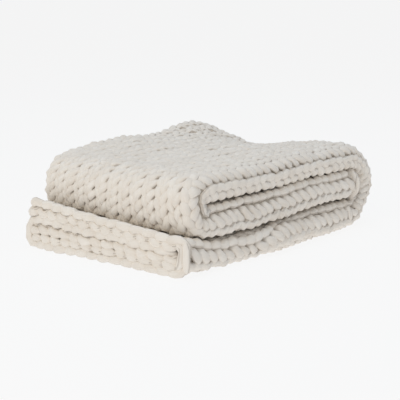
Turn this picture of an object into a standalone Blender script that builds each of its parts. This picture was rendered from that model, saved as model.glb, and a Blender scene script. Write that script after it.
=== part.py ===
"""Chunky knit blanket, folded in three across its width and then in three along its length.

One knitted panel, modelled as a single closed sheet in its folded shape. Across its width the
panel is folded like a letter: the lower ply, the middle ply turned in over it from the back, and
the upper ply brought over both from the front. That three-ply strip is then folded in thirds:
strip D lies on the floor and turns up at the right into strip A on top, and A turns in at the
left to strip B, whose end lies between the other two.

X runs along the strip towards the right-hand fold, Y from the front fold to the back, Z is up.
"""

import math

import bmesh
import bpy
from mathutils import Vector

# ---------------------------------------------------------------- driving dimensions, metres
PLY_THICKNESS = 0.0150      # the knitted cloth, two soft strands deep
EDGE_THICKNESS = 0.0180     # the bound-off edge, where a chain of loops stands on the cloth
EDGE_WIDTH = 0.034          # how far that edge's thickness reaches into the cloth
PLY_PITCH = 0.0205          # one ply and the little air above it
STRIP_GAP = 0.0095          # air between one strip and the next
FOLDED_DEPTH = 0.440        # front fold to back turn
UPPER_SELVEDGE = 0.012      # the upper ply's selvedge stops this far short of the back turn
MIDDLE_SELVEDGE = 0.040     # the middle ply's selvedge stops this far behind the front fold

# The floor point under the middle of the pile's box, which is the part's origin.
ORIGIN_X = 0.2918
ORIGIN_Y = 0.1991

STRIP_THICKNESS = 2 * PLY_PITCH + PLY_THICKNESS
RIGHT_RADIUS = 1.5 * STRIP_THICKNESS + STRIP_GAP    # outside of the right-hand fold
LEFT_RADIUS = STRIP_THICKNESS + STRIP_GAP / 2       # outside of the left-hand fold
STACK_HEIGHT = 2 * RIGHT_RADIUS
LEFT_CENTRE_Z = STACK_HEIGHT - LEFT_RADIUS

# Heights of the middle of each ply over the outer face of its strip.
LOWER_PLY = PLY_THICKNESS / 2
MIDDLE_PLY = LOWER_PLY + PLY_PITCH
UPPER_PLY = MIDDLE_PLY + PLY_PITCH

# Where each turn or end of the strip stands, and how far it slants over the depth.
# X at the middle of the depth, X gained per metre of Y
OUTSIDE_LEFT = (-0.008, 0.000)     # outside of the left-hand fold
OUTSIDE_RIGHT = (0.619, -0.060)    # outside of the right-hand fold
END_D = (-0.038, -0.030)           # bound-off edge, which sticks out past the left-hand fold
END_B = (0.543, -0.060)            # cast-on edge, inside the right-hand fold

# The strip from the bound-off edge to the cast-on edge: name, mesh steps
LENGTHWISE = (
    ("strip D", 12),
    ("right-hand fold", 10),
    ("strip A", 10),
    ("left-hand fold", 8),
    ("strip B", 8),
)

# The panel from the upper ply's selvedge to the middle ply's: name, mesh steps
CROSSWISE = (
    ("upper ply", 8),
    ("front fold", 8),
    ("lower ply", 8),
    ("back turn", 6),
    ("middle ply", 6),
)

# Heights of the even pile that move as one when it settles, and how far the folded edges there
# stand out from the even pile's: height, front edge's shift in Y, back edge's shift in Y
LEVELS = (
    (0.0, -0.010, -0.030),                                        # floor
    (PLY_THICKNESS, -0.010, -0.030),                              # top of the ply on the floor
    (STRIP_THICKNESS + 0.5 * STRIP_GAP, -0.007, -0.024),          # between strips D and B
    (2 * STRIP_THICKNESS + 1.5 * STRIP_GAP, 0.000, -0.026),       # between strips B and A
    (STACK_HEIGHT, 0.010, -0.022),                                # top of strip A
)

# Soft swells and hollows of those levels, where the plies lie looser or tighter.
# name, X and Y of the middle, reach along X, reach along Y, rise of D's top, B's top, A's top
SWELLS = (
    ("loose plies at the back of the end", -0.05, 0.42, 0.13, 0.16, 0.020, 0.010, 0.000),
    ("back edge", 0.22, 0.42, 0.12, 0.12, 0.003, 0.008, 0.015),
    ("far corner", 0.454, 0.44, 0.09, 0.10, 0.006, 0.015, 0.028),
    ("hollow before the right fold", 0.54, 0.27, 0.10, 0.10, -0.008, -0.016, -0.025),
)

# Where the folded edges bulge or draw in: name, edge, X and Z of the middle, reaches, shift in Y
BULGES = (
    ("belly of strip D", "front", 0.24, 0.030, 0.11, 0.040, -0.011),
    ("foot of the right-hand fold", "front", 0.60, 0.030, 0.10, 0.055, 0.010),
    ("back corner of the left fold", "back", 0.00, 0.170, 0.08, 0.095, -0.014),
)

# Nothing lies on the plies at the bound-off end, so its whole edge curls up off the floor.
# ply, its rise at the edge, how far in from the edge the curl reaches
END_CURL = (
    ("lower ply", 0.008, 0.040),
    ("middle ply", 0.017, 0.049),
    ("upper ply", 0.025, 0.056),
)
# The front fold holds the plies together there: share of the curl it takes away, its reach along Y
FRONT_HOLD = (0.4, 0.10)


def slanted(line, y):
    """X of an end or a fold at this depth."""
    middle, slant = line
    return middle + slant * (y - FOLDED_DEPTH / 2)


def across(width_share):
    """Y, and height over the strip's outer face, of a place across the panel."""
    front_centre = PLY_PITCH + PLY_THICKNESS / 2
    back_centre = FOLDED_DEPTH - (PLY_PITCH + PLY_THICKNESS) / 2
    upper_edge = FOLDED_DEPTH - UPPER_SELVEDGE
    stretch = min(int(width_share), 4)
    part = width_share - stretch
    turn = part * math.pi
    if stretch == 0:
        return upper_edge + part * (front_centre - upper_edge), UPPER_PLY
    if stretch == 1:
        return (front_centre - PLY_PITCH * math.sin(turn),
                MIDDLE_PLY + PLY_PITCH * math.cos(turn))
    if stretch == 2:
        return front_centre + part * (back_centre - front_centre), LOWER_PLY
    if stretch == 3:
        return (back_centre + PLY_PITCH / 2 * math.sin(turn),
                LOWER_PLY + PLY_PITCH / 2 * (1.0 - math.cos(turn)))
    return back_centre + part * (MIDDLE_SELVEDGE - back_centre), MIDDLE_PLY


def along(length_share, y, height):
    """X and Z of a place along the strip, at this depth and height over its outer face."""
    left_centre = slanted(OUTSIDE_LEFT, y) + LEFT_RADIUS
    right_centre = slanted(OUTSIDE_RIGHT, y) - RIGHT_RADIUS
    end_d = slanted(END_D, y)
    end_b = slanted(END_B, y)
    stretch = min(int(length_share), 4)
    part = length_share - stretch
    turn = part * math.pi
    right_reach = RIGHT_RADIUS - height
    left_reach = LEFT_RADIUS - height
    if stretch == 0:
        return end_d + part * (right_centre - end_d), height
    if stretch == 1:
        return right_centre + right_reach * math.sin(turn), RIGHT_RADIUS - right_reach * math.cos(turn)
    if stretch == 2:
        return right_centre + part * (left_centre - right_centre), STACK_HEIGHT - height
    if stretch == 3:
        return left_centre - left_reach * math.sin(turn), LEFT_CENTRE_Z + left_reach * math.cos(turn)
    return left_centre + part * (end_b - left_centre), LEFT_CENTRE_Z - LEFT_RADIUS + height


def settle(x, y, z):
    """The uneven pile's place for a point of the even one, with the order of the plies kept."""
    raised = [level[0] for level in LEVELS]
    for _, mid_x, mid_y, reach_x, reach_y, *rises in SWELLS:
        near = math.exp(-((x - mid_x) / reach_x) ** 2 - ((y - mid_y) / reach_y) ** 2)
        for number, rise in enumerate(rises, start=2):
            raised[number] += rise * near
    below = max(number for number in range(4) if number == 0 or z >= LEVELS[number][0])
    low, high = LEVELS[below], LEVELS[below + 1]
    part = (z - low[0]) / (high[0] - low[0])
    front_shift = low[1] + part * (high[1] - low[1])
    back_shift = low[2] + part * (high[2] - low[2])
    for _, edge, mid_x, mid_z, reach_x, reach_z, shift in BULGES:
        near = math.exp(-((x - mid_x) / reach_x) ** 2 - ((z - mid_z) / reach_z) ** 2)
        if edge == "front":
            front_shift += shift * near
        else:
            back_shift += shift * near
    depth_share = y / FOLDED_DEPTH
    y += front_shift * (1 - depth_share) ** 2 + back_shift * depth_share ** 2
    return x, y, raised[below] + part * (raised[below + 1] - raised[below])


def curl(length_share, x, y, height):
    """Rise of the plies at the bound-off end."""
    if length_share > 1:
        return 0.0
    plies_up = min(max((height - LOWER_PLY) / PLY_PITCH, 0.0), 2.0)
    below = min(int(plies_up), 1)
    part = plies_up - below
    _, low_rise, low_reach = END_CURL[below]
    _, high_rise, high_reach = END_CURL[below + 1]
    rise = low_rise + part * (high_rise - low_rise)
    reach = low_reach + part * (high_reach - low_reach)
    held, held_reach = FRONT_HOLD
    rise *= 1.0 - held * math.exp(-(y / held_reach) ** 2)
    return rise * math.exp(-((x - slanted(END_D, y)) / reach) ** 2)


def share(step, rows):
    """A mesh step as the number of its stretch and the part of that stretch passed."""
    for stretch, row in enumerate(rows):
        if step <= row[1]:
            return stretch + step / row[1]
        step -= row[1]
    return float(len(rows))


def knit_material():
    """Undyed wool roving: warm off-white and quite matt."""
    material = bpy.data.materials.new("wool_roving")
    material.use_nodes = True
    shader = material.node_tree.nodes["Principled BSDF"]
    shader.inputs["Base Color"].default_value = (0.68, 0.64, 0.57, 1.0)
    shader.inputs["Roughness"].default_value = 0.95
    shader.inputs["Metallic"].default_value = 0.0
    return material


def make_blanket(collection):
    """A flat grid of the whole panel, laid in its folds and given the knit's thickness."""
    steps_along = sum(row[1] for row in LENGTHWISE)
    steps_across = sum(row[1] for row in CROSSWISE)
    cloth = bmesh.new()
    bmesh.ops.create_grid(cloth, x_segments=steps_along, y_segments=steps_across, size=0.5)
    walls = cloth.verts.layers.deform.verify()
    for vert in cloth.verts:
        length_share = share(round((vert.co.x + 0.5) * steps_along), LENGTHWISE)
        y, height = across(share(round((vert.co.y + 0.5) * steps_across), CROSSWISE))
        x, z = along(length_share, y, height)
        lift = curl(length_share, x, y, height)
        past_edge = (x - slanted(END_D, y)) / EDGE_WIDTH if length_share <= 1 else 1.0
        bound_off = max(1.0 - past_edge, 0.0)
        thickness = PLY_THICKNESS + (EDGE_THICKNESS - PLY_THICKNESS) * bound_off
        vert[walls][0] = thickness / EDGE_THICKNESS
        vert.co = Vector(settle(x, y, z)) + Vector((0.0, 0.0, lift))
    mesh = bpy.data.meshes.new("blanket")
    cloth.to_mesh(mesh)
    cloth.free()
    mesh.shade_smooth()

    blanket = bpy.data.objects.new("blanket", mesh)
    blanket.data.materials.append(knit_material())
    blanket.vertex_groups.new(name="wall")
    blanket.location = (-ORIGIN_X, -ORIGIN_Y, 0.0)
    collection.objects.link(blanket)
    wall = blanket.modifiers.new("Knit thickness", "SOLIDIFY")
    wall.thickness = EDGE_THICKNESS
    wall.vertex_group = "wall"
    wall.offset = 0.0
    wall.use_even_offset = True


def main():
    """Clears the scene and makes the blanket."""
    for leftover in list(bpy.data.objects):
        bpy.data.objects.remove(leftover, do_unlink=True)
    collection = bpy.data.collections.new("chunky_knit_blanket")
    bpy.context.scene.collection.children.link(collection)
    make_blanket(collection)


main()
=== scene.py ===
"""Chunky knit blanket in undyed wool roving, folded in three across and in three along.

The panel is knitted in plain stocking stitch, 40 wales wide and 82 courses long, from five
skeins of one thick soft strand. Every loop is here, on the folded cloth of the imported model.
"""

import math

import bpy
import numpy as np
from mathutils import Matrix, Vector


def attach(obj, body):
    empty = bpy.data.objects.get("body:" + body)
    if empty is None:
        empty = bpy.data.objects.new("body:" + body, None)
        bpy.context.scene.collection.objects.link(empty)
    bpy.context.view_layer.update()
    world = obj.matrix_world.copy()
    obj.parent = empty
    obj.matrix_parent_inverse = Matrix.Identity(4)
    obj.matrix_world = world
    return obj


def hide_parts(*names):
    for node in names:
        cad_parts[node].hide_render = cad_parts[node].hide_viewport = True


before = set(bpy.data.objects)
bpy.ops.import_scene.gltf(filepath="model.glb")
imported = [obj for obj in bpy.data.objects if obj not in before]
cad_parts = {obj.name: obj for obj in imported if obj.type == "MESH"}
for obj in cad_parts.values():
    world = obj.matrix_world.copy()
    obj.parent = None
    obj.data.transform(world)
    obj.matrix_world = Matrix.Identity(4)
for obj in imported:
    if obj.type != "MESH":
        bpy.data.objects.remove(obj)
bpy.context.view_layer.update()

# ---------------------------------------------------------------- ground of the cloth
# The backs of the knitted loops, pressed together into one sheet of wool behind the strands'
# fronts. Like the whole panel it lies in nine plies: folded like a letter across its width,
# then in thirds along its length. It is knitted with the panel, so nothing fixes it.

# its folds across: a strip of three plies, with the front fold and the back turn
PLY_THICKNESS = 0.0150
PLY_PITCH = 0.0205          # one ply and the little air above it
FOLDED_DEPTH = 0.440
FRONT_CENTRE = PLY_PITCH + PLY_THICKNESS / 2                    # the front fold bends round this
BACK_CENTRE = FOLDED_DEPTH - (PLY_PITCH + PLY_THICKNESS) / 2    # and the back turn round this
UPPER_EDGE = FOLDED_DEPTH - 0.012   # the outer selvedge lies on top, just short of the back
MIDDLE_EDGE = 0.025                 # the inner selvedge is hidden inside the front fold
LOWER_PLY = PLY_THICKNESS / 2
MIDDLE_PLY = LOWER_PLY + PLY_PITCH
UPPER_PLY = MIDDLE_PLY + PLY_PITCH
STRIP_THICKNESS = 2 * PLY_PITCH + PLY_THICKNESS

# its folds along: strip D at the bottom, strip A on top and strip B between them
STRIP_GAP = 0.0095          # air between one strip and the next
RIGHT_RADIUS = 1.5 * STRIP_THICKNESS + STRIP_GAP        # from strip D up to strip A
LEFT_RADIUS = STRIP_THICKNESS + STRIP_GAP / 2           # from strip A down to strip B
STACK_HEIGHT = 2 * RIGHT_RADIUS
LEFT_CENTRE_Z = STACK_HEIGHT - LEFT_RADIUS
# x of each fold and end at half depth, and how far it moves along for each metre of depth
LEFT_FOLD = (-0.008, 0.000)
RIGHT_FOLD = (0.619, -0.060)
BOUND_OFF_END = (-0.038, -0.030)
CAST_ON_END = (0.543, -0.060)
LEFT_SAG = 0.52             # the left fold sags, so it is fuller below its middle
ORIGIN = np.array((0.2918, 0.1991, 0.0))    # the floor under the middle of the pile

# the panel, laid flat
WALE = 0.0322               # one stitch across
WALES = 40
COURSE = 0.0240             # one stitch along
COURSES = 82
# stretches of its width, in metres: upper ply, front fold, lower ply, back turn, middle ply
WIDTHS = np.cumsum((0.0, UPPER_EDGE - FRONT_CENTRE, math.pi * PLY_PITCH,
                    BACK_CENTRE - FRONT_CENTRE, math.pi * PLY_PITCH / 2, BACK_CENTRE - MIDDLE_EDGE))
# stretches of its length, in courses: strip D, right fold, strip A, left fold, strip B
LENGTHS = np.cumsum((0.0, 23.6, 11.4, 19.7, 8.2, 20.3))


def stretch_share(places, ends):
    """Number of the stretch each place is in, and the part of it passed, which may run over."""
    stretch = np.clip(np.searchsorted(ends, places, side="right") - 1, 0, 4)
    return stretch, (places - ends[stretch]) / (ends[stretch + 1] - ends[stretch])


def across(width, out):
    """Y and height over the strip's outer face, for metres across and out from mid ply."""
    stretch, part = stretch_share(width, WIDTHS)
    turn = part * math.pi
    sin, cos = np.sin(turn), np.cos(turn)
    pick = [stretch == number for number in range(4)]
    one, none = np.ones_like(part), np.zeros_like(part)
    y = np.select(pick, (UPPER_EDGE + part * (FRONT_CENTRE - UPPER_EDGE),
                         FRONT_CENTRE - PLY_PITCH * sin,
                         FRONT_CENTRE + part * (BACK_CENTRE - FRONT_CENTRE),
                         BACK_CENTRE + PLY_PITCH / 2 * sin),
                  BACK_CENTRE + part * (MIDDLE_EDGE - BACK_CENTRE))
    height = np.select(pick, (UPPER_PLY * one, MIDDLE_PLY + PLY_PITCH * cos, LOWER_PLY * one,
                              LOWER_PLY + PLY_PITCH / 2 * (1 - cos)), MIDDLE_PLY * one)
    out_y = np.select(pick, (none, -sin, none, sin), none)
    out_height = np.select(pick, (one, cos, -one, -cos), one)
    return y + out * out_y, height + out * out_height


def slanted(place, y):
    """X of a fold or an end at this depth."""
    middle, slant = place
    return middle + slant * (y - FOLDED_DEPTH / 2)


def along(course, y, height):
    """X and Z in the even pile, for a course, a depth and a height over the strip's outer face."""
    stretch, part = stretch_share(course, LENGTHS)
    turn = part * math.pi
    sin, cos = np.sin(turn), np.cos(turn)
    left = slanted(LEFT_FOLD, y) + LEFT_RADIUS
    right = slanted(RIGHT_FOLD, y) - RIGHT_RADIUS
    end_d = slanted(BOUND_OFF_END, y)
    end_b = slanted(CAST_ON_END, y)
    pick = [stretch == number for number in range(4)]
    left_reach = (LEFT_RADIUS - height) * (1 + LEFT_SAG * np.where(cos < 0, (sin * cos) ** 2, 0.0))
    x = np.select(pick, (end_d + part * (right - end_d), right + (RIGHT_RADIUS - height) * sin,
                         right + part * (left - right), left - left_reach * sin),
                  left + part * (end_b - left))
    z = np.select(pick, (height, RIGHT_RADIUS - (RIGHT_RADIUS - height) * cos,
                         STACK_HEIGHT - height, LEFT_CENTRE_Z + left_reach * cos),
                  LEFT_CENTRE_Z - LEFT_RADIUS + height)
    return x, z


# the pile is laid by hand, so it is uneven. Height in the even pile: floor, a ply's top, and the
# tops of strips D, B and A, each with how far the front edge and the back edge move in y there
LEVELS = np.array((
    (0.0, -0.010, -0.030),
    (PLY_THICKNESS, -0.010, -0.030),
    (STRIP_THICKNESS + 0.5 * STRIP_GAP, -0.007, -0.024),
    (2 * STRIP_THICKNESS + 1.5 * STRIP_GAP, 0.000, -0.026),
    (STACK_HEIGHT, 0.010, -0.022),
))
# where the strips swell or sag: x and y, the reaches, and the rises of the tops of D, B and A
SWELLS = (
    ((-0.05, 0.42), (0.13, 0.16), (0.020, 0.010, 0.000)),
    ((0.22, 0.42), (0.12, 0.12), (0.003, 0.008, 0.015)),
    ((0.454, 0.44), (0.09, 0.10), (0.006, 0.015, 0.028)),
    ((0.54, 0.27), (0.10, 0.10), (-0.008, -0.016, -0.025)),
    ((0.44, -0.02), (0.15, 0.15), (0.010, 0.007, 0.000)),
    ((0.15, -0.02), (0.10, 0.14), (-0.004, 0.002, 0.000)),
)
# where the front and the back bulge or are pushed in: x and z, the reaches, and the move in y
FRONT_BULGES = (((0.24, 0.030), (0.11, 0.040), -0.011), ((0.60, 0.030), (0.10, 0.055), 0.010))
BACK_BULGES = (((0.00, 0.170), (0.08, 0.095), -0.014),)


def around(first, second, middle, reach):
    """1 at a spot of the pile, fading to 0 about as far away as the reach."""
    return np.exp(-((first - middle[0]) / reach[0]) ** 2 - ((second - middle[1]) / reach[1]) ** 2)


def settle(x, y, z):
    """The uneven pile's place for a point of the even one."""
    heights, front_moves, back_moves = LEVELS.T
    raised = [np.full_like(z, height) for height in heights]
    for middle, reach, rises in SWELLS:
        swollen = around(x, y, middle, reach)
        for number, rise in enumerate(rises, start=2):
            raised[number] = raised[number] + rise * swollen
    below = np.clip(np.searchsorted(heights, z, side="right") - 1, 0, 3)
    part = (z - heights[below]) / (heights[below + 1] - heights[below])
    front = front_moves[below] + part * (front_moves[below + 1] - front_moves[below])
    back = back_moves[below] + part * (back_moves[below + 1] - back_moves[below])
    for middle, reach, move in FRONT_BULGES:
        front = front + move * around(x, z, middle, reach)
    for middle, reach, move in BACK_BULGES:
        back = back + move * around(x, z, middle, reach)
    depth = y / FOLDED_DEPTH
    y = y + front * (1 - depth) ** 2 + back * depth ** 2
    raised = np.array(raised)
    point = np.arange(len(z))
    low, high = raised[below, point], raised[below + 1, point]
    return x, y, low + part * (high - low)


SNUG = 0.0060               # how far the front fold bulges into a groove between two strips
SNUG_PLACE = 0.27           # where it does, as a share of the fold's length away from its crown
SNUG_REACH = 0.16
SNUG_CHANGE = 2             # it changes over this many courses either side of strip B's start


def snug(width, course):
    """How far the front fold bulges here, into the grooves beside strip B."""
    from_crown = (width - WIDTHS[1]) / (WIDTHS[2] - WIDTHS[1]) - 0.5
    # strips D and A have one of these grooves each, and strip B has one on either side
    strip_b = np.interp(course, (LENGTHS[4] - SNUG_CHANGE, LENGTHS[4] + SNUG_CHANGE), (0.0, 1.0))
    return SNUG * (np.exp(-((from_crown + SNUG_PLACE) / SNUG_REACH) ** 2)
                   + strip_b * np.exp(-((from_crown - SNUG_PLACE) / SNUG_REACH) ** 2))


# the bound-off end carries no load, so it curls up: lower, middle and upper ply
CURL_RISES = (0.008, 0.017, 0.025)
CURL_REACHES = (0.042, 0.050, 0.058)
CURL_HELD = 0.4             # share of the curl that the front fold holds down
CURL_HELD_REACH = 0.10


def in_pile(width, course, out):
    """Places in the pile for places on the panel: metres across, course, metres to the V side."""
    y, height = across(width, out + snug(width, course))
    x, z = along(course, y, height)
    plies_up = (height - LOWER_PLY) / PLY_PITCH
    rise = np.interp(plies_up, (0, 1, 2), CURL_RISES)
    reach = np.interp(plies_up, (0, 1, 2), CURL_REACHES)
    inward = (x - slanted(BOUND_OFF_END, y)) / reach
    rise = rise * (1 - CURL_HELD * np.exp(-(y / CURL_HELD_REACH) ** 2))
    lift = np.where(course <= LENGTHS[1], rise * np.exp(-np.abs(inward) ** 3), 0.0)
    x, y, z = settle(x, y, z)
    return np.stack((x, y, z + lift), axis=1) - ORIGIN


# its wool
def linear(hex_colour):
    """An sRGB hex colour as linear red, green, blue and alpha."""
    parts = [int(hex_colour[start:start + 2], 16) / 255 for start in (1, 3, 5)]
    return [part / 12.92 if part <= 0.04045 else ((part + 0.055) / 1.055) ** 2.4
            for part in parts] + [1.0]


def add_node(tree, kind, values=(), links=(), **settings):
    """A node with its settings, its sockets' values and the links that feed it."""
    node = tree.nodes.new(kind)
    for name, value in settings.items():
        setattr(node, name, value)
    for socket, value in dict(values).items():
        node.inputs[socket].default_value = value
    for socket, source in dict(links).items():
        tree.links.new(source, node.inputs[socket])
    return node


# streaks 1.5 mm wide and twelve times as long, coarser than the real fibres so that they show
STREAKS_IN_METRE = 650.0
STREAK_STRETCH = 0.08
DRIFTS_IN_METRE = 20.0      # the fleece's own shade drifts over 50 mm or so of strand
FLANK_SHADE = 0.0030              # how far the painted shade of a pressed flank reaches over the strand
FUZZ = 0.0008               # height of the fibres' bump


def roving_wool(name, pale, deep, crease_shade):
    """Carded, hardly twisted wool: matt, with a faint bloom of loose fibres, soft streaks and shade
    painted into its creases.
    """
    material = bpy.data.materials.new(name)
    material.use_nodes = True
    tree = material.node_tree
    shader = tree.nodes["Principled BSDF"]
    shader.inputs["Roughness"].default_value = 0.95
    shader.inputs["Specular IOR Level"].default_value = 0.15
    shader.inputs["Sheen Weight"].default_value = 0.25
    shader.inputs["Sheen Roughness"].default_value = 0.6
    shader.inputs["Sheen Tint"].default_value = linear("#FFF8EC")
    # "strand" holds a place in the strand: across its section, and metres along it
    strand = add_node(tree, "ShaderNodeAttribute", attribute_name="strand")
    fibres = add_node(tree, "ShaderNodeMapping", {"Scale": (1.0, 1.0, STREAK_STRETCH)},
                      {"Vector": strand.outputs["Vector"]})
    streaks = add_node(tree, "ShaderNodeTexNoise",
                       {"Scale": STREAKS_IN_METRE, "Detail": 2.0, "Roughness": 0.6},
                       {"Vector": fibres.outputs["Vector"]})
    drift = add_node(tree, "ShaderNodeTexNoise", {"Scale": DRIFTS_IN_METRE, "Detail": 2.0},
                     {"Vector": strand.outputs["Vector"]})
    mixed = add_node(tree, "ShaderNodeMath", {1: 0.5},
                     {0: streaks.outputs["Fac"], 2: drift.outputs["Fac"]}, operation="MULTIPLY_ADD")
    spread = add_node(tree, "ShaderNodeMapRange", {"From Min": 0.45, "From Max": 1.05},
                      {"Value": mixed.outputs["Value"]})
    # sockets 6 and 7 of a colour mix are its two colours, and output 2 is the result
    colour = add_node(tree, "ShaderNodeMix", {6: linear(deep), 7: linear(pale)},
                      {"Factor": spread.outputs["Result"]}, data_type="RGBA")
    # shade is painted into the creases: the flanks, which press on the next strand, and the
    # tucked-in ends take the darker crease colour
    section = add_node(tree, "ShaderNodeSeparateXYZ", links={"Vector": strand.outputs["Vector"]})
    from_flank = add_node(tree, "ShaderNodeMath", links={0: section.outputs["X"]},
                          operation="ABSOLUTE")
    flank = add_node(tree, "ShaderNodeMapRange",
                     {"From Min": 0.0, "From Max": FLANK_SHADE, "To Min": 0.40},
                     {"Value": from_flank.outputs["Value"]}, interpolation_type="SMOOTHSTEP")
    # this attribute is 1 where the wool lies open and -1 where it is tucked right under, where the
    # shade is painted darkest
    tuck_shade = add_node(tree, "ShaderNodeAttribute", attribute_name="tuck_shade")
    tucked = add_node(tree, "ShaderNodeMapRange", {"From Min": -1.0, "From Max": 0.1},
                      {"Value": tuck_shade.outputs["Fac"]}, interpolation_type="SMOOTHSTEP")
    open_wool = add_node(tree, "ShaderNodeMath", links={
        0: flank.outputs["Result"], 1: tucked.outputs["Result"]}, operation="MULTIPLY")
    crease_shaded = add_node(tree, "ShaderNodeMix", {6: linear(crease_shade)}, {
        0: open_wool.outputs["Value"], 7: colour.outputs[2]}, data_type="RGBA")
    tree.links.new(crease_shaded.outputs[2], shader.inputs["Base Color"])
    bump = add_node(tree, "ShaderNodeBump", {"Strength": 0.5, "Distance": FUZZ},
                    {"Height": streaks.outputs["Fac"]})
    tree.links.new(bump.outputs["Normal"], shader.inputs["Normal"])
    return material


# the same wool seen only down the cracks between loops, painted one soft grey-beige as the shade
# there, hardly streaked
backs_painted_shade = roving_wool("wool_backs_painted_shade", "#C2B9AD", "#B0A79B", "#B0A79B")

# its sheet
GROUND_THICKNESS = 0.003
GROUND_OUT = -0.0012        # the ground's middle, just behind the ply's middle
GROUND_RISE = 0.0015        # it comes forward where a fold draws the courses apart
MOST_APART = 0.35           # fully so where they lie 35 % further apart than in flat cloth
BROW_RISE = 0.0020          # and on the brow, where the loops lie flatter and close up
GROUND_SIDE_INSET = 0.012   # its edges lie inside the selvedges' loops, in metres
GROUND_END_INSET = 0.62     # and inside the end chains, in courses
BROW_AHEAD = 0.8            # the brow's middle, in courses before strip A ends
BROW_REACH = 4.6
PROBE = 0.1                 # distances along the panel are felt a tenth of a course either way


def on_brow(course):
    """1 on the brow of the left fold, where strip A turns down, and 0 away from it."""
    return np.exp(-((course - LENGTHS[3] + BROW_AHEAD) / BROW_REACH) ** 4)


def drawn_apart(width, ahead, behind, out):
    """How far apart the courses lie here, against how they lie in flat cloth."""
    steps = in_pile(width, ahead, out) - in_pile(width, behind, out)
    return np.linalg.norm(steps, axis=1) / (2 * PROBE * COURSE)


steps_across = 96
steps_along = 150
flat_width = np.linspace(GROUND_SIDE_INSET, WIDTHS[5] - GROUND_SIDE_INSET, steps_across + 1)
flat_course = np.linspace(GROUND_END_INSET, LENGTHS[5] - GROUND_END_INSET, steps_along + 1)
grid_width, grid_course = [axis.ravel() for axis in np.meshgrid(flat_width, flat_course)]
apart = drawn_apart(grid_width, grid_course + PROBE, grid_course - PROBE,
                    np.zeros_like(grid_width))
apart = np.clip(apart, 1.0, 1.0 + MOST_APART) - 1
ground_out = GROUND_OUT + GROUND_RISE * apart / MOST_APART + BROW_RISE * on_brow(grid_course)
corners = [row * (steps_across + 1) + column
           for row in range(steps_along) for column in range(steps_across)]
faces = [(corner, corner + 1, corner + steps_across + 2, corner + steps_across + 1)
         for corner in corners]
ground_mesh = bpy.data.meshes.new("knit_ground")
ground_mesh.from_pydata(in_pile(grid_width, grid_course, ground_out).tolist(), [], faces)
ground_mesh.shade_smooth()
ground = bpy.data.objects.new("knit_ground", ground_mesh)
bpy.context.scene.collection.objects.link(ground)
wall = ground.modifiers.new("Wall", "SOLIDIFY")
wall.thickness = GROUND_THICKNESS
wall.offset = 0.0
ground.data.materials.append(backs_painted_shade)
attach(ground, "root")
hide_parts("blanket")


# ---------------------------------------------------------------- skeins of knitting
# The loops: one soft roving, worked back and forth in five skeins of about sixteen courses each.
# A loop comes forward between the legs of the one below it and is held by them, so the front
# shows the legs as V's of fat leaves.
STRAND_WIDTH = 0.0182
STRAND_THICKNESS = 0.0122   # flatter than wide, as loops press on each other
LOOP_SIDES = 8              # sides of the strand's section
ON_FLOOR = 0.0002           # it lies flat where it meets the floor, just clear of it

# pale cream fleece, a little warmer between the streaks, with grey-beige shade painted into the
# creases
wool = roving_wool("undyed_wool_roving", "#F4EFE8", "#E6DDD2", "#B5ABA0")


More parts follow.
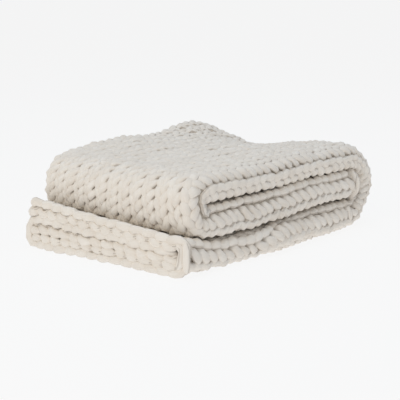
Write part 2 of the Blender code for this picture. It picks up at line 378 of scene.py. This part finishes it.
def strand_nodes():
    """A strand of the given width and thickness, swept along the line that the knitting takes."""
    tree = bpy.data.node_groups.new("Strand on its line", "GeometryNodeTree")
    tree.is_modifier = True
    for name, in_out, kind in (("Line", "INPUT", "Geometry"), ("Strand width", "INPUT", "Float"),
                               ("Strand thickness", "INPUT", "Float"), ("Sides", "INPUT", "Int"),
                               ("Material", "INPUT", "Material"), ("Strand", "OUTPUT", "Geometry")):
        tree.interface.new_socket(name, in_out=in_out, socket_type="NodeSocket" + kind)
    given = tree.nodes.new("NodeGroupInput")
    outcome = tree.nodes.new("NodeGroupOutput")
    line = add_node(tree, "GeometryNodeMeshToCurve", links={"Mesh": given.outputs["Line"]})
    facing = add_node(tree, "GeometryNodeInputNamedAttribute", {"Name": "facing"},
                      data_type="FLOAT_VECTOR")
    plump = add_node(tree, "GeometryNodeInputNamedAttribute", {"Name": "plump"}, data_type="FLOAT")
    turned = add_node(tree, "GeometryNodeSetCurveNormal", links={
        "Curve": line.outputs["Curve"], "Normal": facing.outputs["Attribute"]}, mode="FREE")
    passed = add_node(tree, "GeometryNodeSplineParameter")
    noted = add_node(tree, "GeometryNodeStoreNamedAttribute", {"Name": "passed"}, {
        "Geometry": turned.outputs["Curve"], "Value": passed.outputs["Length"]},
        data_type="FLOAT", domain="POINT")
    # a ring one metre across is scaled to the strand's section
    ring = add_node(tree, "GeometryNodeCurvePrimitiveCircle", {"Radius": 0.5}, {
        "Resolution": given.outputs["Sides"]}, mode="RADIUS")
    shape = add_node(tree, "ShaderNodeCombineXYZ", {"Z": 1.0}, {
        "X": given.outputs["Strand thickness"], "Y": given.outputs["Strand width"]})
    oval = add_node(tree, "GeometryNodeTransform", links={
        "Geometry": ring.outputs["Curve"], "Scale": shape.outputs["Vector"]})
    place = add_node(tree, "GeometryNodeInputPosition")
    section = add_node(tree, "GeometryNodeStoreNamedAttribute", {"Name": "section"}, {
        "Geometry": oval.outputs["Geometry"], "Value": place.outputs["Position"]},
        data_type="FLOAT_VECTOR", domain="POINT")
    swept = add_node(tree, "GeometryNodeCurveToMesh", {"Fill Caps": True}, {
        "Curve": noted.outputs["Geometry"], "Profile Curve": section.outputs["Geometry"],
        "Scale": plump.outputs["Attribute"]})
    over = add_node(tree, "GeometryNodeInputNamedAttribute", {"Name": "section"},
                    data_type="FLOAT_VECTOR")
    way = add_node(tree, "GeometryNodeInputNamedAttribute", {"Name": "passed"}, data_type="FLOAT")
    parts = add_node(tree, "ShaderNodeSeparateXYZ", links={"Vector": over.outputs["Attribute"]})
    joined = add_node(tree, "ShaderNodeCombineXYZ", links={
        "X": parts.outputs["X"], "Y": parts.outputs["Y"], "Z": way.outputs["Attribute"]})
    marked = add_node(tree, "GeometryNodeStoreNamedAttribute", {"Name": "strand"}, {
        "Geometry": swept.outputs["Mesh"], "Value": joined.outputs["Vector"]},
        data_type="FLOAT_VECTOR", domain="POINT")
    smooth = add_node(tree, "GeometryNodeSetShadeSmooth",
                      links={"Geometry": marked.outputs["Geometry"]})
    real = add_node(tree, "GeometryNodeRealizeInstances",
                    links={"Geometry": smooth.outputs["Geometry"]})
    dressed = add_node(tree, "GeometryNodeSetMaterial", links={
        "Geometry": real.outputs["Geometry"], "Material": given.outputs["Material"]})
    tree.links.new(dressed.outputs["Geometry"], outcome.inputs["Strand"])
    return tree


strand_tree = strand_nodes()


def unit(vectors):
    """The same directions, each of length 1."""
    return vectors / np.maximum(np.linalg.norm(vectors, axis=1, keepdims=True), 1e-9)


def strand_piece(name, points, facing, plump, tuck_shade, sides):
    """A piece of strand along these points, its flatter face turned as given."""
    steps = unit(np.diff(points, axis=0))
    forward = unit(np.concatenate((steps[:1], steps[1:] + steps[:-1], steps[-1:])))
    facing = unit(facing - forward * np.sum(facing * forward, axis=1, keepdims=True))
    mesh = bpy.data.meshes.new(name + "_line")
    mesh.from_pydata(points.tolist(), [(spot, spot + 1) for spot in range(len(points) - 1)], [])
    mesh.attributes.new("facing", "FLOAT_VECTOR", "POINT").data.foreach_set("vector", facing.ravel())
    mesh.attributes.new("plump", "FLOAT", "POINT").data.foreach_set("value", plump)
    mesh.attributes.new("tuck_shade", "FLOAT", "POINT").data.foreach_set("value", tuck_shade)
    line = bpy.data.objects.new(name + "_line", mesh)
    bpy.context.scene.collection.objects.link(line)
    sweep = line.modifiers.new("Strand", "NODES")
    sweep.node_group = strand_tree
    sockets = {item.name: item.identifier for item in strand_tree.interface.items_tree
               if item.in_out == "INPUT"}
    sweep[sockets["Strand width"]] = STRAND_WIDTH
    sweep[sockets["Strand thickness"]] = STRAND_THICKNESS
    sweep[sockets["Sides"]] = sides
    sweep[sockets["Material"]] = wool
    bpy.context.view_layer.update()
    view = bpy.context.evaluated_depsgraph_get()
    made = bpy.data.meshes.new_from_object(line.evaluated_get(view))
    bpy.data.objects.remove(line, do_unlink=True)
    made.name = name
    places = np.empty(len(made.vertices) * 3)
    made.vertices.foreach_get("co", places)
    places[2::3] = np.maximum(places[2::3], ON_FLOOR)
    made.vertices.foreach_set("co", places)
    made.update()
    piece = bpy.data.objects.new(name, made)
    bpy.context.scene.collection.objects.link(piece)
    return piece


LOOP_HEIGHT = 1.00          # half the loop's height, in courses
LOOP_SPREAD = 0.0080        # how far the legs lean out of upright, in metres
LOOP_LEAN = 0.0056          # how far the heads lean over the feet, so one leg stands straighter
LOOP_TWIST = 0.0030         # the slanting leg's foot stands in front, its top tucks under
LOOP_DEPTH = 0.0054         # legs in front of mid ply, heads and feet behind it
LEG_CREST = 0.9             # 2 would make a leg a plain wave, and less brings it to a crest
BROW_FLATTER = 0.30         # share of the loops' depth that is pressed out on the brow
END_INSET = 1.30            # from the panel's ends to the first and last course, in courses
FIRST_COURSE = END_INSET
LAST_COURSE = LENGTHS[5] - END_INSET
# places along one stitch in degrees, closest together where the legs bend
STITCH_TURNS = (-180, -148, -127, -104, -76, -53, -32, 0, 32, 53, 76, 104, 127, 148)
EDGE_BEND_WIDTH = 0.003     # where the strand goes up a course, it bends out past the selvedge
EDGE_BEND_OUT = 0.004       # and comes forward
EDGE_BEND_POINTS = 5

chance = np.random.default_rng(7)
unevenness = chance.normal(size=(5, COURSES + 6, 2 * WALES + 6))


def eased(part):
    """0 to 1 with a soft start and a soft end."""
    return part * part * (3 - 2 * part)


def uneven(kind, width, course):
    """A smooth random number of about one stitch's reach, for a place on the panel."""
    grid = unevenness[kind]
    row = np.clip(course + 2, 0, COURSES + 4)
    column = np.clip(width / WALE * 2 + 2, 0, 2 * WALES + 4)
    above, left = row.astype(int), column.astype(int)
    down, over = eased(row - above), eased(column - left)
    upper = grid[above, left] * (1 - over) + grid[above, left + 1] * over
    lower = grid[above + 1, left] * (1 - over) + grid[above + 1, left + 1] * over
    return upper * (1 - down) + lower * down


FOLD_WALE = 13.5            # the wale on the front fold's crown
CREEP_REACH = 11            # the wales on either side that creep with it
# by how many wales the fold has crept at the ends of each stretch of the length
CREEP = (0.0, 0.0, -0.5, -0.5, -1.0, -1.0)
# a hand has pushed the front fold of strip D up a little halfway along: courses, and wales there
PUSHED_COURSES = (0.0, 8.8, 11.8, 20.0, 23.0)
PUSHED_WALES = (0.0, 0.26, -0.28, -0.05, 0.0)


def skew(width, course):
    """How far the front fold has crept across the wales by this course."""
    near_fold = np.clip(1 - np.abs(width / WALE - FOLD_WALE) / CREEP_REACH, 0, 1)
    creep = np.interp(course, LENGTHS, CREEP)
    creep = creep + np.interp(course, PUSHED_COURSES, PUSHED_WALES)
    return WALE * creep * near_fold


SLIP = 0.30                 # courses slipped for each course away from the left fold's middle
SLIP_WALES = 2.5            # how far it reaches from the front fold's crown
SLIP_COURSES = 5            # and from the left fold's middle


def slip(width, course):
    """Where the front fold turns round the left fold, its courses slip out along the strips."""
    near_fold = np.exp(-((width / WALE - FOLD_WALE) / SLIP_WALES) ** 2)
    from_middle = course - (LENGTHS[3] + LENGTHS[4]) / 2
    return SLIP * near_fold * from_middle * np.exp(-(from_middle / SLIP_COURSES) ** 2)


def worked_line(first, last):
    """Panel places of the strand through these courses, in the order it is worked."""
    width, course, out = [], [], []
    turns = np.concatenate([np.radians(STITCH_TURNS) + 2 * math.pi * wale for wale in range(WALES)]
                           + [[2 * math.pi * WALES - math.pi]])
    for number in range(first, last):
        middle = FIRST_COURSE + number * (LAST_COURSE - FIRST_COURSE) / (COURSES - 1)
        angle = turns if number % 2 == 0 else turns[::-1]       # worked back and forth
        depth = LOOP_DEPTH * (1 - BROW_FLATTER * on_brow(middle))
        width.append(WALE * (angle / (2 * math.pi) + 0.5) + LOOP_SPREAD * np.sin(2 * angle)
                     - LOOP_LEAN * np.cos(angle))
        course.append(middle - LOOP_HEIGHT * np.cos(angle))
        out.append(depth * (1 - 2 * np.abs(np.cos(angle)) ** LEG_CREST)
                   + LOOP_TWIST * np.sin(2 * angle))
        if number + 1 < last:
            # at the edge the strand goes up one course in a small outward bend
            bend = np.linspace(0, 1, EDGE_BEND_POINTS + 2)[1:-1]
            side = 1 if number % 2 == 0 else -1
            arch = np.sin(math.pi * bend)
            width.append(width[-1][-1] + side * EDGE_BEND_WIDTH * arch)
            course.append(course[-1][-1] + bend)
            out.append(np.full_like(bend, out[-1][-1]) + EDGE_BEND_OUT * arch)
    return np.concatenate(width), np.concatenate(course), np.concatenate(out)


# how unevenly the loops lie, as they are worked by hand
UNEVEN_WIDTH = 0.0019
UNEVEN_COURSE = 0.08
UNEVEN_OUT = 0.0015
UNEVEN_PLUMP = 0.07
# the least and the most room that a strand follows, against flat cloth
ROOM_ALONG = (0.70, 1.50)
ROOM_ACROSS = (0.80, 1.30)
REACH_ACROSS = 0.002        # room across is felt 2 mm to either side
REACH_OUT = 0.001           # and the way out from the cloth 1 mm


def facing_out(width, course, out):
    """The way that the V side faces at places on the panel."""
    return unit(in_pile(width, course, out + REACH_OUT) - in_pile(width, course, out - REACH_OUT))


def laid(width, course, out):
    """Points in the pile, the way the V side faces there, and how much room a strand has."""
    shifted = width + skew(width, course)
    shifted = shifted + UNEVEN_WIDTH * uneven(0, width, course)
    moved = course + slip(width, course) + UNEVEN_COURSE * uneven(1, width, course)
    out = out + UNEVEN_OUT * uneven(2, width, course)
    ahead, behind = course + PROBE, course - PROBE
    along_room = np.clip(drawn_apart(shifted, ahead + slip(width, ahead),
                                     behind + slip(width, behind), out), *ROOM_ALONG)
    beside = (in_pile(shifted + REACH_ACROSS, moved, out)
              - in_pile(shifted - REACH_ACROSS, moved, out))
    across_room = np.clip(np.linalg.norm(beside, axis=1) / (2 * REACH_ACROSS), *ROOM_ACROSS)
    points = in_pile(shifted, moved, out)
    return points, facing_out(shifted, moved, out), np.sqrt(along_room * across_room)


PLUMP = 0.93                # the loops' plumpness in flat cloth
PLUMP_FRONT = 0.15          # more of it in the legs, which stand in front, and less in the heads
PLUMP_BROW = 0.16           # and on the brow, where the loops are pressed flatter
FILL_FROM = 1.12            # soft roving swells into the room beyond this much
FILL_MOST = 0.3             # as far as this beyond it
FILL_SHARE = 0.5            # and takes up this share of it
OPEN_SIDE = 0.0045          # outermost share of the width, where nothing presses on the loops
OPEN_END = 0.011            # and of the length

for number in range(5):
    first, last = COURSES * number // 5, COURSES * (number + 1) // 5
    width, course, out = worked_line(first, last)
    points, facing, room = laid(width, course, out)
    plump = (room * (1 + UNEVEN_PLUMP * uneven(3, width, course))
             * (1 + PLUMP_FRONT * out / LOOP_DEPTH) * PLUMP)
    plump = plump * (1 + PLUMP_BROW * on_brow(course)
                     + FILL_SHARE * np.clip(room - FILL_FROM, 0, FILL_MOST))
    # the outermost loops get no painted shade at their tucked-in ends
    shaded_loops = ((np.abs(width / (WALES * WALE) - 0.5) < 0.5 - OPEN_SIDE)
               & (np.abs(course / LENGTHS[5] - 0.5) < 0.5 - OPEN_END))
    tuck_shade = np.where(shaded_loops, out / LOOP_DEPTH, 1.0)
    skein = strand_piece(f"skein_{number + 1}", points, facing, plump, tuck_shade, LOOP_SIDES)
    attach(skein, "root")
    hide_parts("blanket")


# ---------------------------------------------------------------- bound-off and cast-on edges
# A chain of loops along each end, lying on the end of the cloth with its V's along the edge.
# It is the same roving, drawn tight by hand as the edge is finished. Inside it runs the last
# row's strand, so no hole is left between the chain's two sides.
CHAIN_INSET = 0.37          # the chain's middle, in courses from the panel's end
CHAIN_SIDE_INSET = 0.35     # its ends, in wales from the selvedges
LINK_REACH = 0.66           # how far a link reaches to either side of its middle, in wales
LINK_BUNCH = 0.45           # how much of the strand is gathered at a link's ends
LINK_HALF = 0.0064          # half of a link's width
LINK_TAPER = 0.0026         # how much wider it is at one end than in its middle
LINK_PUFF = 0.22            # how far its sides stand out over its ends, in courses
LINK_PLUMP = 0.74           # a link is thinner than a loop, as it is drawn tight
LINK_SIDES_PLUMP = 0.34     # and fuller along its sides
LINK_TUCK = 1.6             # its sides lie open, and its ends duck under the next links
CHAIN_SIDES = 12            # sides of the strand's section
LINK_POINTS = 20
CHAIN_CLEAR = 0.002         # it stays this far inside the selvedges
END_PROBE = 0.05            # the way the end faces is felt this far either way, in courses
UNEVEN_LINK_WIDTH = 0.0018
UNEVEN_LINK_COURSE = 0.06
UNEVEN_LINK_OUT = 0.0008


def edge_chain(name, edge, outward):
    """A chain along the panel's end at this course; outward is -1 or 1 in courses."""
    # it starts half a link early, so the first link closes round the selvedge
    angle = np.linspace(-math.pi, 2 * math.pi * WALES, LINK_POINTS * WALES + LINK_POINTS // 2 + 1)
    passed = ((angle + LINK_BUNCH * np.sin(2 * angle)) / (2 * math.pi)
              * (WALES - 2 * CHAIN_SIDE_INSET) / WALES)
    width = WALE * (CHAIN_SIDE_INSET + passed - LINK_REACH * np.cos(angle))
    # the two sides of a link start together, spread, and close again behind the next link
    out = np.sin(angle) * (LINK_HALF - LINK_TAPER * np.cos(angle))
    course = edge - outward * LINK_PUFF * np.cos(2 * angle)
    width = np.clip(width, CHAIN_CLEAR, WALES * WALE - CHAIN_CLEAR)
    course = course + UNEVEN_LINK_COURSE * uneven(1, width, course)
    out = out + UNEVEN_LINK_OUT * uneven(2, width, course)
    shifted = width + UNEVEN_LINK_WIDTH * uneven(0, width, course)
    points = in_pile(shifted, course, out)
    facing = outward * unit(in_pile(shifted, course + END_PROBE, out)
                            - in_pile(shifted, course - END_PROBE, out))
    plump = (LINK_PLUMP * (1 + UNEVEN_PLUMP * uneven(4, width, course))
             * (1 + LINK_SIDES_PLUMP * np.abs(np.sin(angle))))
    # painted shade on the links' ends, which duck under the next links; their sides stay unshaded
    tuck_shade = LINK_TUCK * np.abs(np.sin(angle)) - 1.0
    return strand_piece(name, points, facing, plump, tuck_shade, CHAIN_SIDES)


CORE_INSET = 0.66           # in courses from the panel's end
CORE_SIDE_INSET = 0.014     # in metres from the selvedges
CORE_OUT = -0.0005
CORE_PLUMP = 1.05
# in the front fold it is bunched up: nearer the end, further in, and thicker
BUNCH_COURSE = 0.39
BUNCH_OUT = 0.0060
BUNCH_PLUMP = 0.15
BUNCH_WALES = 1.0           # over about this many wales either side of the crown
CORE_POINTS = 5             # in a wale


def edge_core(name, edge, outward):
    """The last row's strand, bunched up where the front fold bends it."""
    width = np.linspace(CORE_SIDE_INSET, WALES * WALE - CORE_SIDE_INSET, CORE_POINTS * WALES + 1)
    in_fold = np.exp(-((width / WALE - FOLD_WALE) / BUNCH_WALES) ** 2)
    course = edge + outward * BUNCH_COURSE * in_fold
    out = CORE_OUT - BUNCH_OUT * in_fold
    plump = CORE_PLUMP + BUNCH_PLUMP * in_fold
    return strand_piece(name, in_pile(width, course, out), facing_out(width, course, out),
                        plump, np.ones_like(width), LOOP_SIDES)


edges = [edge_chain("bound_off_edge", CHAIN_INSET, -1),
         edge_chain("cast_on_edge", LENGTHS[5] - CHAIN_INSET, 1),
         edge_core("bound_off_core", CORE_INSET, -1),
         edge_core("cast_on_core", LENGTHS[5] - CORE_INSET, 1)]
for edge in edges:
    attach(edge, "root")
    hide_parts("blanket")


# ---------------------------------------------------------------- studio
# A plain pale studio floor that glows a little, a pale room, one broad soft lamp and a wide
# panel overhead. A long lens looks from a little above the left front corner of the pile.
floor_reach = 90.0
floor_mesh = bpy.data.meshes.new("studio_floor")
floor_mesh.from_pydata([(x * floor_reach, y * floor_reach, 0)
                        for x, y in ((-1, -1), (1, -1), (1, 1), (-1, 1))], [], [(0, 1, 2, 3)])
floor = bpy.data.objects.new("studio_floor", floor_mesh)
bpy.context.scene.collection.objects.link(floor)
# matt paper, lit from behind: it stays pale and even, with only a faint shadow under the pile
paper = bpy.data.materials.new("white_studio_paper")
paper.use_nodes = True
paper_shader = paper.node_tree.nodes["Principled BSDF"]
paper_shader.inputs["Base Color"].default_value = linear("#595959")
paper_shader.inputs["Roughness"].default_value = 1.0
paper_shader.inputs["Specular IOR Level"].default_value = 0.0
paper_shader.inputs["Emission Color"].default_value = linear("#FFFFFF")
paper_shader.inputs["Emission Strength"].default_value = 0.86
floor.data.materials.append(paper)

room_light = bpy.data.worlds.new("pale_room")
room_light.use_nodes = True
room_shader = room_light.node_tree.nodes["Background"]
room_shader.inputs["Color"].default_value = (0.95, 0.975, 1.0, 1.0)
room_shader.inputs["Strength"].default_value = 0.47
bpy.context.scene.world = room_light


def round_light(name, size, power, colour, place):
    """A round, soft light at this place, shining straight down until it is turned."""
    data = bpy.data.lights.new(name, "AREA")
    data.shape = "DISK"
    data.size = size
    data.energy = power
    data.color = colour
    light = bpy.data.objects.new(name, data)
    bpy.context.scene.collection.objects.link(light)
    light.location = place
    return light


lamp = round_light("soft_lamp", size=2.0, power=22.4, colour=(1.0, 0.916, 0.785),
                   place=(-2.5, -0.35, 1.8))
lamp.rotation_euler = (-lamp.location).to_track_quat("-Z", "Y").to_euler()
round_light("overhead_panel", size=2.5, power=25.0, colour=(0.68, 0.82, 1.0),
            place=(0.0, 0.0, 3.0))

azimuth = math.radians(-49.566)
elevation = math.radians(11.220)
camera_distance = 2.5
look_at = Vector((-0.0191, 0.0161, 0.0775))
look_along = Vector((
    -math.sin(azimuth) * math.cos(elevation),
    math.cos(azimuth) * math.cos(elevation),
    -math.sin(elevation),
))
camera = bpy.data.objects.new("camera", bpy.data.cameras.new("camera"))
bpy.context.scene.collection.objects.link(camera)
camera.location = look_at - look_along * camera_distance
camera.rotation_euler = look_along.to_track_quat("-Z", "Y").to_euler()
camera.data.sensor_width = 36.0     # in millimetres, as is the lens
camera.data.lens = 104.544
bpy.context.scene.camera = camera
bpy.context.scene.view_settings.view_transform = "Standard"
